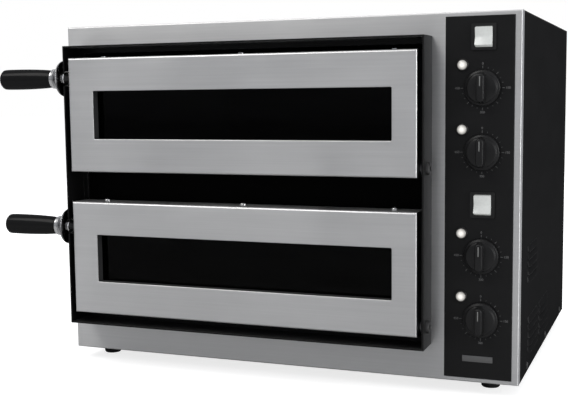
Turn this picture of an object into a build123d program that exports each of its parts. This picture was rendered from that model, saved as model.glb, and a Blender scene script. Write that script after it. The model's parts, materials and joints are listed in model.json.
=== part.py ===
from build123d import *
import math
import os

# Double-deck countertop pizza oven, all lengths in millimetres.
# +X is to the user's right, +Y runs from the doors to the back, +Z is up.
# The origin is on the counter, under the middle of the whole object's outline.
# Sizes are given from the casing's lower left front corner; on a door, heights named
# "rise", and window, chamber and stone heights, count from the door's bottom edge.

# ---------------------------------------------------------------- driving sizes
CASE_W = 568.0      # casing width
CASE_D = 436.0      # fascia face to rear panel face
CASE_H = 412.0      # casing height, without the feet
FOOT_H = 15.0
SHEET = 1.2         # casing sheet
FASCIA_T = 1.5      # stainless fascia sheet
RETURN_D = 12.0     # depth of the fascia's folded edges
FIT_GAP = 0.3       # between neighbouring casing sheets

SURROUND_X0, SURROUND_X1 = 16.0, 470.0     # door surround, outside
SURROUND_Z0, SURROUND_Z1 = 40.7, 386.7
SURROUND_D = 38.0                          # how far it stands in front of the fascia
SURROUND_T = 2.0

DOOR_X0, DOOR_X1 = 23.5, 462.5
DOOR_H = 139.5
UPPER_Z, LOWER_Z = 232.2, 55.2             # bottom edge of each door
DOORS = (UPPER_Z, LOWER_Z)
DOOR_FRONT, DOOR_BACK = -38.5, -6.0
WIN_X0, WIN_X1 = 58.0, 434.0               # window opening in the skin
WIN_Z0, WIN_Z1 = 40.45, 99.05
HINGE_Y, HINGE_RISE = -21.0, 9.5           # hinge axis
SHOULDER_BORE_R = 4.06                     # clearance round a 4 mm radius shoulder or stem

HANDLE_Y = -28.0                           # handle axis
HANDLE_RISE = {UPPER_Z: 114.75, LOWER_Z: 107.45}
GRIP_END = -79.4
FLANGE_R = 22.0

CHAMBER_X0, CHAMBER_X1 = 39.0, 446.0       # baking chamber, outside
CHAMBER_Z0, CHAMBER_Z1 = 20.5, 131.5
CHAMBER_FRONT, CHAMBER_BACK = -5.7, 405.0
CHAMBER_T = 1.0

PANEL_X0, PANEL_X1 = 485.0, 560.5          # control panel
PANEL_Z0, PANEL_Z1 = 5.0, 407.0
PANEL_T = 1.2
KNOB_X = 526.0
KNOB_Z = [329.0, 259.0, 144.0, 72.5]
KNOB_R = 20.0
LAMP_X = 504.0
LAMP_Z = [354.3, 283.9, 169.0, 97.9]
SWITCH_X = 527.0
SWITCH_Z = [384.3, 201.0]
SWITCH_CUT_W, SWITCH_CUT_H = 22.4, 25.2
LAMP_HOLE_R, KNOB_HOLE_R = 5.0, 4.75

FOOT_X = [26.0, 530.0]
FOOT_Y = [45.0, 391.0]
SCREW_HEAD = 2.2                           # casing screw head height
CORD_R = 4.5
CORD_X, CORD_Z = 530.0, 40.0               # where the cord leaves the rear panel
CORD_BACK = 484.0                          # centre of the cord behind the oven
CORD_LOW = -10.3                           # centre of the cord where it lies on the counter
PLUG_Y, PLUG_Z = 466.0, 3.1                # plug axis, lying on the counter

# outline of the whole object
X_MIN, X_MAX = GRIP_END, CASE_W + SCREW_HEAD
Y_MIN, Y_MAX = HANDLE_Y - FLANGE_R, CORD_BACK + CORD_R
CORNER = (-(X_MIN + X_MAX) / 2, -(Y_MIN + Y_MAX) / 2, FOOT_H)

# ---------------------------------------------------------------- planes and helpers
# All three datum planes start in the casing's lower left front corner.
FRONT = Plane(origin=CORNER, x_dir=(1, 0, 0), z_dir=(0, -1, 0))  # local x right, y up
TOP = Plane(origin=CORNER, x_dir=(1, 0, 0), z_dir=(0, 0, 1))     # local x right, y back
SIDE = Plane(origin=CORNER, x_dir=(0, 1, 0), z_dir=(1, 0, 0))    # local x back, y up


def front(y):
    """Vertical plane at depth y, facing the user."""
    return FRONT.offset(-y)


def top(z):
    """Level plane at height z over the casing's bottom, facing up."""
    return TOP.offset(z)


def side(x):
    """Vertical plane at distance x from the casing's left side, facing right."""
    return SIDE.offset(x)


def at(x, y, z):
    """A point given from the casing's lower left front corner."""
    return Vector(CORNER[0] + x, CORNER[1] + y, CORNER[2] + z)


def upright(x, y, z):
    """Plane through a point, facing the user: local x right, y up."""
    return Plane(origin=at(x, y, z), x_dir=(1, 0, 0), z_dir=(0, -1, 0))


def level(x, z):
    """Level plane at the casing's front: local x right from x, y back."""
    return Plane(origin=at(x, 0, z), x_dir=(1, 0, 0), z_dir=(0, 0, 1))


def corners(u0, u1, v0, v1, mode=Mode.ADD):
    """A rectangle between two corners, added to the open sketch."""
    with Locations(((u0 + u1) / 2, (v0 + v1) / 2)):
        Rectangle(u1 - u0, v1 - v0, mode=mode)


def rounded(u0, u1, v0, v1, radius):
    """A rectangle with round corners, added to the open sketch."""
    with Locations(((u0 + u1) / 2, (v0 + v1) / 2)):
        RectangleRounded(u1 - u0, v1 - v0, radius)


def discs(points, radius, mode=Mode.ADD):
    """Circles at the given points, added to the open sketch."""
    with Locations(*points):
        Circle(radius, mode=mode)


def slots(u, v, length, pitch, count, mode=Mode.ADD):
    """A stack of level slots centred on (u, v), added to the open sketch."""
    with Locations((u, v)):
        with GridLocations(0, pitch, 1, count):
            SlotOverall(length, 4.0, mode=mode)


def cross_recess(length, width):
    """A screw's cross recess, added to the open sketch."""
    Rectangle(length, width)
    Rectangle(width, length)


def pan_head_screw(shank_length, shank_r, head_r, rim, crown, head_height):
    """Half section of a pan-head screw, added to the open line. crown is a point on its dome."""
    Line((0, -shank_length), (shank_r, -shank_length))
    Line((shank_r, -shank_length), (shank_r, 0))
    Line((shank_r, 0), (head_r, 0))
    Line((head_r, 0), (head_r, rim))
    Spline((head_r, rim), crown, (0, head_height), tangents=((-0.4, 1), (-1, 0)))
    Line((0, head_height), (0, -shank_length))


def grown(rect, margin):
    """A rectangle (u0, u1, v0, v1) made larger by a margin all round."""
    u0, u1, v0, v1 = rect
    return (u0 - margin, u1 + margin, v0 - margin, v1 + margin)


def finish(builder, name):
    """Label a finished piece and write it out."""
    builder.part.label = name
    export_step(builder.part, f"parts/{name}.step")


os.makedirs("parts", exist_ok=True)

# ================================================================ casing
SHELL_FRONT = RETURN_D + FIT_GAP
SHELL_BACK = CASE_D - SHEET - FIT_GAP
SHELL_TOP = CASE_H - SHEET - FIT_GAP
FLANGE_W = 16.0                        # top and rear flanges of the side panels
SCREW_HOLE_R = 2.1
EDGE_ROUND = 0.8
VENT_PITCH = 9.0

SCREW_X = (8.0, CASE_W - 8.0)
SCREW_Y = (60.0, 223.0, 386.0)
side_screws = [(y, 9.0) for y in SCREW_Y]                  # on each side panel
top_screws = [(x, y) for x in SCREW_X for y in SCREW_Y]
rear_screws = [(x, z) for x in SCREW_X for z in (40.0, 206.0, 380.0)]
feet_at = [(x, y) for x in FOOT_X for y in FOOT_Y]

PAN_SIDE = 1.6                         # base pan's distance from the casing's sides
PAN_BACK = 433.0
PAN_H = 18.0

with BuildPart() as base_pan:
    with BuildSketch(top(0)):
        corners(PAN_SIDE, CASE_W - PAN_SIDE, SHELL_FRONT, PAN_BACK)
    extrude(amount=PAN_H)
    # open at the front and back: the hollow takes the full depth
    with BuildSketch(top(SHEET)):
        corners(PAN_SIDE + SHEET, CASE_W - PAN_SIDE - SHEET, SHELL_FRONT, PAN_BACK)
    extrude(amount=PAN_H, mode=Mode.SUBTRACT)
    with BuildSketch(top(0)):
        discs(feet_at, 2.6)
    extrude(amount=SHEET, mode=Mode.SUBTRACT)
    with BuildSketch(side(0)):
        discs(side_screws, 2.0)
    extrude(amount=CASE_W, mode=Mode.SUBTRACT)
    # row of vent slots under the electrical compartment
    with BuildSketch(top(0)):
        slots(522.0, 200.0, length=50.0, pitch=12.0, count=8)
    extrude(amount=SHEET, mode=Mode.SUBTRACT)
finish(base_pan, "base_pan")

# Half sections: radius, height over the casing's bottom
FOOT_SECTION = [
    (2.7, 0), (11.4, 0), (12.2, -1.2), (12.2, -3.2), (10.6, -13.9), (9.6, -FOOT_H),
    (5.6, -FOOT_H), (5.6, -7.0), (2.7, -7.0), (2.7, 0),
]
# The last point, on the axis, lies below the first.
FOOT_SCREW_SECTION = [
    (0, -10.6), (3.4, -10.0), (4.6, -8.7), (4.6, -7.1), (2.5, -7.1), (2.5, 1.3),
    (4.2, 1.3), (4.2, 5.0), (2.5, 5.0), (2.5, 7.0), (0, 7.0), (0, -11.6),
]


def turned_at_feet(section):
    """The same turned piece at each foot."""
    with BuildPart() as pieces:
        for x, y in feet_at:
            with BuildSketch(upright(x, y, 0)):
                with BuildLine():
                    Polyline(*section)
                make_face()
            revolve(axis=Axis(at(x, y, 0), (0, 0, 1)))
    return pieces


finish(turned_at_feet(FOOT_SECTION), "feet")
finish(turned_at_feet(FOOT_SCREW_SECTION), "foot_screws")


def side_panel(x_out, x_in, vents=()):
    """Side sheet with top and rear flanges, from its outer face x_out to the flanges' end x_in.

    Each vent bank is (y, z, slot length).
    """
    x_low, x_high = min(x_out, x_in), max(x_out, x_in)
    skin_x = x_low if x_out < x_in else x_high - SHEET
    flange_z = SHELL_TOP - SHEET
    with BuildPart() as panel:
        with BuildSketch(side(skin_x)):
            corners(SHELL_FRONT, SHELL_BACK, 0, SHELL_TOP)
        extrude(amount=SHEET)
        with BuildSketch(top(flange_z)):
            corners(x_low, x_high, RETURN_D + 2.0, SHELL_BACK)
        extrude(amount=SHEET)
        with BuildSketch(front(SHELL_BACK)):
            corners(x_low, x_high, 2.0, SHELL_TOP)
        extrude(amount=SHEET)
        with BuildSketch(side(skin_x)):
            discs(side_screws, SCREW_HOLE_R)
        extrude(amount=SHEET, mode=Mode.SUBTRACT)
        with BuildSketch(top(flange_z)):
            discs([point for point in top_screws if x_low < point[0] < x_high], SCREW_HOLE_R)
        extrude(amount=SHEET, mode=Mode.SUBTRACT)
        with BuildSketch(front(SHELL_BACK)):
            discs([point for point in rear_screws if x_low < point[0] < x_high], SCREW_HOLE_R)
        extrude(amount=SHEET, mode=Mode.SUBTRACT)
        if vents:
            with BuildSketch(side(skin_x)):
                for y, z, length in vents:
                    slots(y, z, length, pitch=VENT_PITCH, count=5)
            extrude(amount=SHEET, mode=Mode.SUBTRACT)
    return panel


# The right side carries three banks of louvre slots that cool the electrical compartment.
RIGHT_VENTS = ((98.0, 126.0, 72.0), (107.0, 41.0, 74.0), (203.0, 41.0, 74.0))
finish(side_panel(0.0, FLANGE_W), "left_side_panel")
finish(side_panel(CASE_W, CASE_W - FLANGE_W, RIGHT_VENTS), "right_side_panel")

with BuildPart() as rear_panel:
    with BuildSketch(front(CASE_D)):
        corners(0, CASE_W, 0, SHELL_TOP)
        discs(rear_screws, SCREW_HOLE_R, Mode.SUBTRACT)
        discs([(CORD_X, CORD_Z)], 10.2, Mode.SUBTRACT)
        for vent_x in (240.0, 360.0):
            slots(vent_x, 330.0, length=90.0, pitch=VENT_PITCH, count=6, mode=Mode.SUBTRACT)
    extrude(amount=SHEET)
    fillet(rear_panel.faces().sort_by(Axis.Y)[-1].outer_wire().edges(), radius=EDGE_ROUND)
finish(rear_panel, "rear_panel")

with BuildPart() as top_cover:
    with BuildSketch(top(CASE_H - SHEET)):
        corners(0, CASE_W, SHELL_FRONT, CASE_D)
        discs(top_screws, SCREW_HOLE_R, Mode.SUBTRACT)
    extrude(amount=SHEET)
    fillet(top_cover.faces().sort_by(Axis.Z)[-1].outer_wire().edges(), radius=EDGE_ROUND)
finish(top_cover, "top_cover")

# Casing screws, all alike. Each plane faces out of the casing.
screw_planes = [Plane(origin=at(0, y, z), x_dir=(0, 1, 0), z_dir=(-1, 0, 0))
                for y, z in side_screws]
screw_planes += [Plane(origin=at(CASE_W, y, z), x_dir=(0, 1, 0), z_dir=(1, 0, 0))
                 for y, z in side_screws]
screw_planes += [Plane(origin=at(x, y, CASE_H), x_dir=(1, 0, 0), z_dir=(0, 0, 1))
                 for x, y in top_screws]
screw_planes += [Plane(origin=at(x, CASE_D, z), x_dir=(1, 0, 0), z_dir=(0, 1, 0))
                 for x, z in rear_screws]
with BuildPart() as casing_screws:
    for place in screw_planes:
        section_plane = Plane(origin=place.origin, x_dir=place.x_dir,
                              z_dir=place.x_dir.cross(place.z_dir))
        with BuildSketch(section_plane):
            with BuildLine():
                pan_head_screw(shank_length=7.0, shank_r=1.9, head_r=3.9, rim=0.9,
                               crown=(2.4, 1.85), head_height=SCREW_HEAD)
            make_face()
        revolve(axis=Axis(place.origin, place.z_dir))
        with BuildSketch(place.offset(SCREW_HEAD)):
            cross_recess(3.6, 0.7)
        extrude(amount=-1.3, mode=Mode.SUBTRACT)
finish(casing_screws, "casing_screws")

# ================================================================ front
switch_at = [(SWITCH_X, z) for z in SWITCH_Z]
lamp_at = [(LAMP_X, z) for z in LAMP_Z]
knob_at = [(KNOB_X, z) for z in KNOB_Z]

SURROUND = (SURROUND_X0, SURROUND_X1, SURROUND_Z0, SURROUND_Z1)
OVEN_MOUTH = grown(SURROUND, -8.0)     # opening in the fascia and the surround's flange


def control_cutouts(mode):
    """Openings for switches, lamps and knob stems, in the open sketch."""
    with Locations(*switch_at):
        Rectangle(SWITCH_CUT_W, SWITCH_CUT_H, mode=mode)
    discs(lamp_at, LAMP_HOLE_R, mode)
    discs(knob_at, KNOB_HOLE_R, mode)


def chamber_outline(door_z):
    """Outside of a chamber, seen from the front."""
    return (CHAMBER_X0, CHAMBER_X1, door_z + CHAMBER_Z0, door_z + CHAMBER_Z1)


with BuildPart() as front_fascia:
    with BuildSketch(front(RETURN_D)):
        corners(0, CASE_W, 0, CASE_H)
    extrude(amount=RETURN_D)
    fillet(front_fascia.edges().group_by(Axis.Y)[0], radius=2.0)
    with BuildSketch(front(RETURN_D)):
        corners(FASCIA_T, CASE_W - FASCIA_T, FASCIA_T, CASE_H - FASCIA_T)
    extrude(amount=RETURN_D - FASCIA_T, mode=Mode.SUBTRACT)
    with BuildSketch(front(FASCIA_T)):
        corners(*OVEN_MOUTH)
        control_cutouts(Mode.ADD)
    extrude(amount=FASCIA_T, mode=Mode.SUBTRACT)
finish(front_fascia, "front_fascia")

with BuildPart() as control_panel:
    with BuildSketch(front(0)):
        corners(PANEL_X0, PANEL_X1, PANEL_Z0, PANEL_Z1)
        control_cutouts(Mode.SUBTRACT)
    extrude(amount=PANEL_T)
    chamfer(control_panel.faces().sort_by(Axis.Y)[0].outer_wire().edges(), length=0.4)
finish(control_panel, "control_panel")

# Tube round the doors with an inward rear flange, slotted on the left for the handles.
HANDLE_SLOT_HALF_H = 9.0
HANDLE_SLOT_BACK = -19.5
with BuildPart() as door_surround:
    with BuildSketch(front(0)):
        corners(*SURROUND)
        corners(*grown(SURROUND, -SURROUND_T), Mode.SUBTRACT)
    extrude(amount=SURROUND_D)
    fillet(door_surround.faces().sort_by(Axis.Y)[0].outer_wire().edges(), radius=EDGE_ROUND)
    with BuildSketch(front(0)):
        corners(*SURROUND)
        corners(*OVEN_MOUTH, Mode.SUBTRACT)
    extrude(amount=FASCIA_T)
    with BuildSketch(side(SURROUND_X0 - 1)):
        for door_z in DOORS:
            handle_z = door_z + HANDLE_RISE[door_z]
            corners(-SURROUND_D - 2, HANDLE_SLOT_BACK,
                    handle_z - HANDLE_SLOT_HALF_H, handle_z + HANDLE_SLOT_HALF_H)
    extrude(amount=SURROUND_T + 2, mode=Mode.SUBTRACT)
    with BuildSketch(side(SURROUND_X0 - 1)):
        discs([(HINGE_Y, door_z + HINGE_RISE) for door_z in DOORS], SHOULDER_BORE_R)
    extrude(amount=SURROUND_X1 - SURROUND_X0 + 2, mode=Mode.SUBTRACT)
finish(door_surround, "door_surround")

with BuildPart() as mouth_plate:
    with BuildSketch(front(2 * FASCIA_T)):
        corners(*grown(SURROUND, -4.0))
        for door_z in DOORS:
            corners(*grown(chamber_outline(door_z), FIT_GAP), Mode.SUBTRACT)
    extrude(amount=FASCIA_T)
finish(mouth_plate, "mouth_plate")

# ================================================================ inside
ELEMENT_R = 3.25
ELEMENT_RISES = (25.5, 124.0)               # bottom and top element
ELEMENT_Y = (60.0, 330.0)                   # where the ends leave the chamber
ELEMENT_END = 470.0
BULB_Y = 100.0
BULB_RISES = (96.8, 25.5)                   # top heat, bottom heat
LEDGE_W, LEDGE_T, LEDGE_RISE = 9.0, 1.2, 30.8
STONE_BACK = 398.0


def chamber(door_z):
    """Five-sided sheet box, open to the front, with a ledge on each side for the stone."""
    outline = chamber_outline(door_z)
    ledge_top = door_z + LEDGE_RISE
    with BuildPart() as box:
        with BuildSketch(front(CHAMBER_BACK)):
            corners(*outline)
        extrude(amount=CHAMBER_BACK - CHAMBER_FRONT)
        with BuildSketch(front(CHAMBER_BACK - CHAMBER_T)):
            corners(*grown(outline, -CHAMBER_T))
        extrude(amount=CHAMBER_BACK - CHAMBER_FRONT, mode=Mode.SUBTRACT)
        # ledge and the web that joins it to the wall, each from its left edge
        left, right = CHAMBER_X0 + CHAMBER_T, CHAMBER_X1 - CHAMBER_T
        for ledge_x, web_x in ((left, left), (right - LEDGE_W, right - 1)):
            with BuildSketch(front(STONE_BACK)):
                corners(ledge_x, ledge_x + LEDGE_W, ledge_top - LEDGE_T, ledge_top)
                corners(web_x, web_x + 1, door_z + 22.0, ledge_top)
            extrude(amount=390.0)
        with BuildSketch(side(CHAMBER_X1 - 3)):
            discs([(y, door_z + rise) for y in ELEMENT_Y for rise in ELEMENT_RISES], 3.6)
            discs([(BULB_Y, door_z + rise) for rise in BULB_RISES], 1.4)
        extrude(amount=4.0, mode=Mode.SUBTRACT)
    return box


finish(chamber(UPPER_Z), "upper_chamber")
finish(chamber(LOWER_Z), "lower_chamber")

with BuildPart() as baking_stones:
    for door_z in DOORS:
        with BuildSketch(top(door_z + LEDGE_RISE + 0.2)):
            corners(CHAMBER_X0 + 4.0, CHAMBER_X1 - 4.0, 8.0, STONE_BACK)
        extrude(amount=12.0)
    chamfer(baking_stones.edges().filter_by(Axis.Z), length=3.0)
finish(baking_stones, "baking_stones")

# Serpentine run of a tubular element, seen from above: x, y.
# Its cold ends leave through the chamber's right wall.
ELEMENT_RUN = [
    (ELEMENT_END, 60), (80, 60), (80, 150), (415, 150),
    (415, 240), (80, 240), (80, 330), (ELEMENT_END, 330),
]
with BuildPart() as heating_elements:
    for door_z in DOORS:
        for rise in ELEMENT_RISES:
            with BuildLine(top(door_z + rise)) as element_run:
                FilletPolyline(*ELEMENT_RUN, radius=44.5)
            with BuildSketch(side(ELEMENT_END)):
                discs([(ELEMENT_Y[0], door_z + rise)], ELEMENT_R)
            sweep(path=element_run.line)
finish(heating_elements, "heating_elements")

BLANKET_FRONT, BLANKET_BACK = 16.0, 431.0
BLANKET_Z0, BLANKET_Z1 = 9.0, 408.0


def cut_capillary_slot(door_z):
    """Upright slot for the two capillaries of a deck, cut in the open sketch."""
    corners(BULB_Y - 6, BULB_Y + 6, door_z + 15, door_z + 110, Mode.SUBTRACT)


with BuildPart() as insulation_blankets:
    # left side
    with BuildSketch(side(10.5)):
        corners(BLANKET_FRONT, BLANKET_BACK, BLANKET_Z0, BLANKET_Z1)
    extrude(amount=26.5)
    # right side
    with BuildSketch(side(448.0)):
        corners(BLANKET_FRONT, BLANKET_BACK, BLANKET_Z0, BLANKET_Z1)
        for door_z in DOORS:
            for y in ELEMENT_Y:
                corners(y - 8, y + 8, door_z + ELEMENT_RISES[0] - 8,
                        door_z + ELEMENT_RISES[1] + 8, Mode.SUBTRACT)
            cut_capillary_slot(door_z)
    extrude(amount=25.0)
    # under, between and over the chambers
    for z0, z1 in ((BLANKET_Z0, 73.5), (189.0, 250.5), (366.0, BLANKET_Z1)):
        with BuildSketch(top(z0)):
            corners(CHAMBER_X0, CHAMBER_X1, BLANKET_FRONT, CHAMBER_BACK)
        extrude(amount=z1 - z0)
    # behind the chambers
    with BuildSketch(front(BLANKET_BACK)):
        corners(CHAMBER_X0, CHAMBER_X1, BLANKET_Z0, BLANKET_Z1)
    extrude(amount=24.0)
finish(insulation_blankets, "insulation_blankets")

# Sheet between the hot side and the electrical compartment, footed on the base pan.
SHIELD_X = 474.5
SHIELD_FOOT_X = 490.0
with BuildPart() as heat_shield:
    with BuildSketch(side(SHIELD_X)):
        corners(BLANKET_FRONT, BLANKET_BACK, SHEET, BLANKET_Z1)
        for door_z in DOORS:
            cut_capillary_slot(door_z)
    extrude(amount=SHEET)
    with BuildSketch(top(SHEET)):
        corners(SHIELD_X, SHIELD_FOOT_X, BLANKET_FRONT, 120)
        corners(SHIELD_X, SHIELD_FOOT_X, 320, BLANKET_BACK)
    extrude(amount=SHEET)
finish(heat_shield, "heat_shield")

# Capillary thermostats: socketed body behind each knob, capillary and bulb in the chamber.
THERMOSTAT_W = 36.0
THERMOSTAT_FRONT, THERMOSTAT_BACK = 1.7, 34.0
SOCKET_D = 15.0
CAPILLARY_R = 1.0
BULB_X, BULB_R, BULB_L = 438.0, 2.9, 70.0
with BuildPart() as thermostats:
    for i, knob_z in enumerate(KNOB_Z):
        bulb_z = DOORS[i // 2] + BULB_RISES[i % 2]
        with BuildSketch(front(THERMOSTAT_BACK)):
            with Locations((KNOB_X, knob_z)):
                RectangleRounded(THERMOSTAT_W, THERMOSTAT_W, 3.0)
        extrude(amount=THERMOSTAT_BACK - THERMOSTAT_FRONT)
        with BuildSketch(front(SOCKET_D)):
            discs([(KNOB_X, knob_z)], SHOULDER_BORE_R)
        extrude(amount=SOCKET_D, mode=Mode.SUBTRACT)
        bends = [
            at(KNOB_X, THERMOSTAT_BACK - 1, knob_z),
            at(KNOB_X, 60.0, knob_z),
            at(500.0, BULB_Y, bulb_z),
            at(BULB_X, BULB_Y, bulb_z),
        ]
        for start, end in zip(bends, bends[1:]):
            with BuildSketch(Plane(origin=start, z_dir=end - start)):
                Circle(CAPILLARY_R)
            extrude(amount=(end - start).length)
        for bend in bends[1:]:
            with Locations(bend):
                Sphere(CAPILLARY_R)
        with BuildSketch(Plane(origin=at(BULB_X, BULB_Y - 3, bulb_z),
                               x_dir=(1, 0, 0), z_dir=(0, 1, 0))):
            Circle(BULB_R)
        extrude(amount=BULB_L)
finish(thermostats, "thermostats")

BLOCK_Z = SHEET + 0.1                       # just clear of the base pan's sheet
BLOCK_BASE_H, BLOCK_RIDGE_H = 12.0, 8.0
with BuildPart() as terminal_block:
    with BuildSketch(top(BLOCK_Z)):
        corners(503.0, 557.0, 338.0, 364.0)
    extrude(amount=BLOCK_BASE_H)
    with BuildSketch(top(BLOCK_Z + BLOCK_BASE_H)):
        corners(503.0, 557.0, 346.0, 356.0)
    extrude(amount=BLOCK_RIDGE_H)
    with BuildSketch(top(BLOCK_Z + BLOCK_BASE_H + BLOCK_RIDGE_H)):
        with Locations((530.0, 351.0)):
            with GridLocations(10.4, 0, 5, 1):
                Circle(2.4)
    extrude(amount=-5.0, mode=Mode.SUBTRACT)
finish(terminal_block, "terminal_block")

# ================================================================ power cord
# Half section: radius, y
GLAND_SECTION = [
    (4.7, 426.0), (10.0, 426.0), (10.0, 436.1), (13.5, 436.1), (13.5, 442.0), (12.4, 443.0),
    (12.4, 453.0), (9.0, 459.0), (6.0, 460.5), (4.7, 460.5), (4.7, 426.0),
]
with BuildPart() as cable_gland:
    with BuildSketch(level(CORD_X, CORD_Z)):
        with BuildLine():
            Polyline(*GLAND_SECTION)
        make_face()
    revolve(axis=Axis(at(CORD_X, 0, CORD_Z), (0, 1, 0)))
    # hexagonal nut inside the rear panel
    with BuildSketch(front(434.7)):
        with Locations((CORD_X, CORD_Z)):
            RegularPolygon(14.5, 6)
            Circle(9.0, mode=Mode.SUBTRACT)
    extrude(amount=5.0)
finish(cable_gland, "cable_gland")

CORD_START = 412.0
CORD_CORNERS = [
    at(CORD_X, CORD_START, CORD_Z),
    at(CORD_X, CORD_BACK, CORD_Z),
    at(CORD_X, CORD_BACK, CORD_LOW),
    at(470.0, CORD_BACK, CORD_LOW),
    at(425.0, PLUG_Y, CORD_LOW),
    at(388.0, PLUG_Y, PLUG_Z),
    at(366.0, PLUG_Y, PLUG_Z),
]
with BuildPart() as power_cord:
    with BuildLine() as cord_run:
        FilletPolyline(*CORD_CORNERS, radius=21.0)
    with BuildSketch(Plane(origin=CORD_CORNERS[0], x_dir=(1, 0, 0), z_dir=(0, 1, 0))):
        Circle(CORD_R)
    sweep(path=cord_run.line)
finish(power_cord, "power_cord")

# Moulded round plug at the cord's end: ribbed boot, body, two pins.
# Half section: x, radius
PLUG_SECTION = [
    (384.0, 4.6), (384.0, 6.0), (381.5, 6.4), (381.5, 5.6), (379.0, 5.8), (379.0, 6.8),
    (376.5, 7.2), (376.5, 6.2), (374.0, 6.5), (374.0, 7.6), (371.0, 8.2), (366.5, 9.6),
    (361.5, 13.6), (355.5, 16.6), (352.0, 16.9), (351.0, 18.0), (338.0, 18.0), (337.0, 17.0),
    (337.0, 0), (365.5, 0), (365.5, 4.6), (384.0, 4.6),
]
PIN_OFFSET = 9.5                            # of each pin from the plug's axis
with BuildPart() as power_plug:
    with BuildSketch(upright(0, PLUG_Y, PLUG_Z)):
        with BuildLine():
            Polyline(*PLUG_SECTION)
        make_face()
    revolve(axis=Axis(at(0, PLUG_Y, PLUG_Z), (1, 0, 0)))
    with BuildSketch(side(319.0)):
        discs([(PLUG_Y - PIN_OFFSET, PLUG_Z), (PLUG_Y + PIN_OFFSET, PLUG_Z)], 2.4)
    extrude(amount=20.0)
    fillet(power_plug.faces().filter_by(Axis.X).group_by(Axis.X)[0].edges(), radius=1.6)
finish(power_plug, "power_plug")

# ================================================================ controls
# Half section: radius, y
LAMP_SECTION = [
    (0, 22.0), (3.4, 22.0), (4.8, 19.0), (4.8, -1.2), (6.8, -1.2), (6.8, -2.3),
    (6.3, -2.8), (5.6, -2.8), (5.6, -1.8), (0, -1.8), (0, 22.0),
]
with BuildPart() as pilot_lamp_bodies:
    for x, z in lamp_at:
        with BuildSketch(level(x, z)):
            with BuildLine():
                Polyline(*LAMP_SECTION)
            make_face()
        revolve(axis=Axis(at(x, 0, z), (0, 1, 0)))
finish(pilot_lamp_bodies, "pilot_lamp_bodies")

LENS_R = 5.5
LENS_BACK, LENS_RIM, LENS_FRONT = -1.9, -3.2, -6.2
with BuildPart() as pilot_lenses:
    for x, z in lamp_at:
        with BuildSketch(level(x, z)):
            with BuildLine():
                Line((0, LENS_BACK), (LENS_R, LENS_BACK))
                Line((LENS_R, LENS_BACK), (LENS_R, LENS_RIM))
                Spline((LENS_R, LENS_RIM), (3.9, -5.25), (0, LENS_FRONT),
                       tangents=((0, -1), (-1, 0)))
                Line((0, LENS_FRONT), (0, LENS_BACK))
            make_face()
        revolve(axis=Axis(at(x, 0, z), (0, 1, 0)))
finish(pilot_lenses, "pilot_lenses")

# Rocker switches: the rocker's ends lie on a circle about its pivot,
# so it stays clear of its pocket.
ROCKER_R, ROCKER_W, ROCKER_TILT = 11.4, 18.8, 7.0
HOUSING_BACK = 24.0
with BuildPart() as rocker_housings:
    for x, z in switch_at:
        with BuildSketch(front(HOUSING_BACK)):
            with Locations((x, z)):
                Rectangle(SWITCH_CUT_W - 0.2, SWITCH_CUT_H - 0.2)
        extrude(amount=HOUSING_BACK + PANEL_T)
        # bezel on the control panel
        with BuildSketch(front(-PANEL_T)):
            with Locations((x, z)):
                RectangleRounded(27.0, 28.4, 1.5)
        extrude(amount=1.6)
        # pocket
        with BuildSketch(front(13.2)):
            with Locations((x, z)):
                Rectangle(ROCKER_W + 0.4, 2 * ROCKER_R + 0.4)
        extrude(amount=20.0, mode=Mode.SUBTRACT)
finish(rocker_housings, "rocker_housings")


def rocker(z):
    """Tilted rocker: a circular back and a front face dished to a shallow V."""
    tilt = math.radians(-ROCKER_TILT)

    def tilted(u, v):
        return (u * math.cos(tilt) - v * math.sin(tilt),
                z + u * math.sin(tilt) + v * math.cos(tilt))

    valley = tilted(-3.4, 0)
    upper_tip, lower_tip = tilted(-5.7, 9.87), tilted(-5.7, -9.87)
    with BuildPart() as body:
        with BuildSketch(side(SWITCH_X - ROCKER_W / 2)):
            with BuildLine():
                Line(valley, upper_tip)
                ThreePointArc(upper_tip, tilted(ROCKER_R, 0), lower_tip)
                Line(lower_tip, valley)
            make_face()
        extrude(amount=ROCKER_W)
    return body


for rocker_name, rocker_z in zip(("upper_deck_rocker", "lower_deck_rocker"), SWITCH_Z):
    finish(rocker(rocker_z), rocker_name)

# Half section: radius, y
KNOB_SECTION = [
    (0, 13.5), (4.0, 13.5), (4.0, -2.6), (KNOB_R - 0.6, -2.6), (KNOB_R, -3.4), (KNOB_R, -5.2),
    (17.2, -7.0), (16.4, -18.0), (15.2, -19.2), (0, -19.2), (0, 13.5),
]
KNOB_CUT_FRONT = -25.0                      # the cuts start in front of the knob


def knob(z):
    """Skirted knob with a raised finger bar and a stem that plugs into the thermostat."""
    with BuildPart() as body:
        with BuildSketch(level(KNOB_X, z)):
            with BuildLine():
                Polyline(*KNOB_SECTION)
            make_face()
        revolve(axis=Axis(at(KNOB_X, 0, z), (0, 1, 0)))
        # finger bar, left standing by two side cuts
        with BuildSketch(front(KNOB_CUT_FRONT)):
            for hand in (-1, 1):
                with Locations((KNOB_X + hand * 12.5, z)):
                    Rectangle(16.0, 44.0)
        extrude(amount=-15.5, mode=Mode.SUBTRACT)
        # pointer groove down the bar
        with BuildSketch(front(KNOB_CUT_FRONT)):
            with Locations((KNOB_X, z + 11.0)):
                Rectangle(1.6, 14.0)
        extrude(amount=-6.5, mode=Mode.SUBTRACT)
    return body


KNOB_NAMES = ["upper_deck_top_heat_knob", "upper_deck_bottom_heat_knob",
              "lower_deck_top_heat_knob", "lower_deck_bottom_heat_knob"]
for knob_name, knob_z in zip(KNOB_NAMES, KNOB_Z):
    finish(knob(knob_z), knob_name)

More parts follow.
